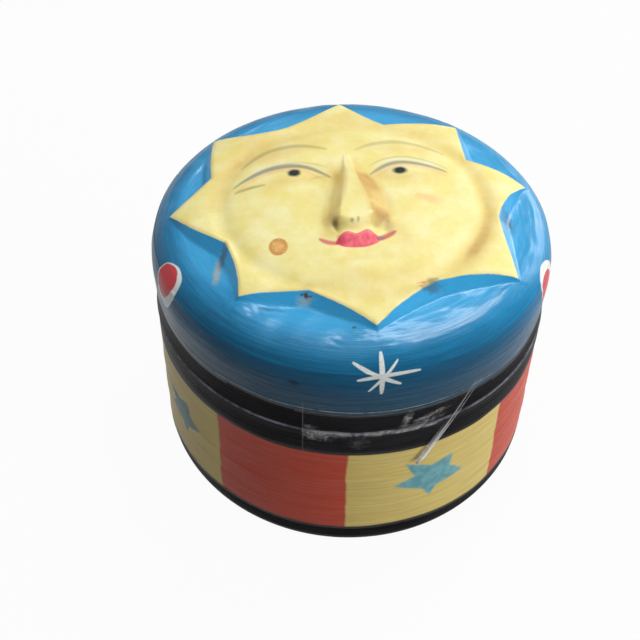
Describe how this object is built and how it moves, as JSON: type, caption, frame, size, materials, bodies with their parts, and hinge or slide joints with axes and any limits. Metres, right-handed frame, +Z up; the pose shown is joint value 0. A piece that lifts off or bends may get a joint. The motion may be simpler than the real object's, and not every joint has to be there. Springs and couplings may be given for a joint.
{
  "type": "lidded jar",
  "caption": "Round lidded box turned from wood, painted, with a star and sun face carved on its lift-off lid.",
  "frame": {"origin": "centre of the flat bottom of the base", "axes": "+Z up through the middle of the lid, +Y the way the carved face's forehead points, -Y the front with the tape"},
  "size_m": [0.1028, 0.1028, 0.081],
  "materials": {
    "painted_wood_base": "brush-painted red and ochre blocks with blue stars between black bands, thin varnish over turned wood, bare inside",
    "painted_wood_lid": "brush-painted blue with a pale yellow carved star and face and a black band, thin varnish over turned and carved wood, bare inside",
    "clear_film": "thin clear sticky tape with wrinkles and scuffs"
  },
  "bodies": {
    "base": {"jar_base": "painted_wood_base", "clear_tape": "clear_film"},
    "lid": {"lid": "painted_wood_lid"}
  },
  "joints": [
    {"name": "lid_lift", "type": "slide", "parent": "base", "child": "lid", "axis": [0, 0, 1], "range_m": [0, 0.06]}
  ]
}
